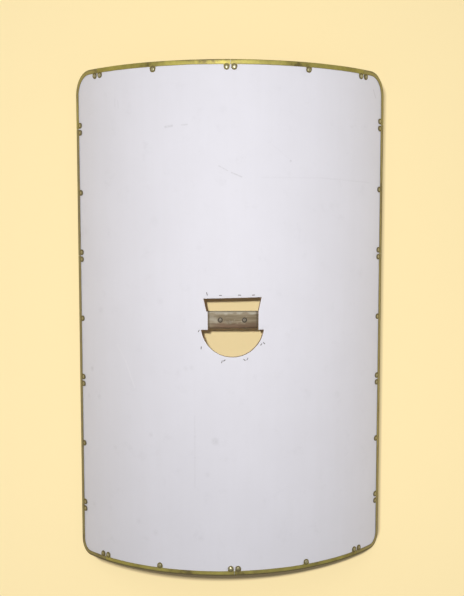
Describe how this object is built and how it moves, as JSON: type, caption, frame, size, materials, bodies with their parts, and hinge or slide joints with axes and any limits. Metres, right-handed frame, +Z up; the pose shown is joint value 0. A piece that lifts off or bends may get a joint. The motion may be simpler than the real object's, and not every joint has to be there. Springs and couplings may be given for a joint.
{
  "type": "curved shield board",
  "caption": "Curved rectangular shield board with rounded corners, nailed brass edging, a hand opening in the middle and a wooden grip across it; the boss is missing.",
  "frame": {"origin": "on the floor, under the middle of the hand opening's line across the shield, with the shield lying face up on its two long edges", "axes": "+X across the shield, to the right seen from the front with the head up; +Y from the foot to the head; +Z up, out of the front of the shield"},
  "size_m": [0.657, 1.0438, 0.1603],
  "materials": {
    "white_facing": "bent plywood with a smooth off-white facing on the front, matt",
    "grip_wood": "bare planed wood, worn and stained by handling",
    "brass": "folded sheet brass, dulled, with brighter rubbed places",
    "steel": "dull steel countersunk screws"
  },
  "bodies": {
    "root": {"board": "white_facing", "edging_corner_foot_left": "brass", "edging_corner_foot_right": "brass", "edging_corner_head_left": "brass", "edging_corner_head_right": "brass", "edging_foot_left": "brass", "edging_foot_right": "brass", "edging_head_left": "brass", "edging_head_right": "brass", "edging_left_lower": "brass", "edging_left_middle": "brass", "edging_left_upper": "brass", "edging_right_lower": "brass", "edging_right_middle": "brass", "edging_right_upper": "brass", "grip": "grip_wood", "grip_screw_left": "steel", "grip_screw_right": "steel", "nail_corner_foot_left_1": "brass", "nail_corner_foot_left_2": "brass", "nail_corner_foot_right_1": "brass", "nail_corner_foot_right_2": "brass", "nail_corner_head_left_1": "brass", "nail_corner_head_left_2": "brass", "nail_corner_head_right_1": "brass", "nail_corner_head_right_2": "brass", "nail_foot_left_1": "brass", "nail_foot_left_2": "brass", "nail_foot_left_3": "brass", "nail_foot_right_1": "brass", "nail_foot_right_2": "brass", "nail_foot_right_3": "brass", "nail_head_left_1": "brass", "nail_head_left_2": "brass", "nail_head_left_3": "brass", "nail_head_right_1": "brass", "nail_head_right_2": "brass", "nail_head_right_3": "brass", "nail_left_lower_1": "brass", "nail_left_lower_2": "brass", "nail_left_lower_3": "brass", "nail_left_middle_1": "brass", "nail_left_middle_2": "brass", "nail_left_middle_3": "brass", "nail_left_upper_1": "brass", "nail_left_upper_2": "brass", "nail_left_upper_3": "brass", "nail_right_lower_1": "brass", "nail_right_lower_2": "brass", "nail_right_lower_3": "brass", "nail_right_middle_1": "brass", "nail_right_middle_2": "brass", "nail_right_middle_3": "brass", "nail_right_upper_1": "brass", "nail_right_upper_2": "brass", "nail_right_upper_3": "brass"}
  },
  "joints": []
}
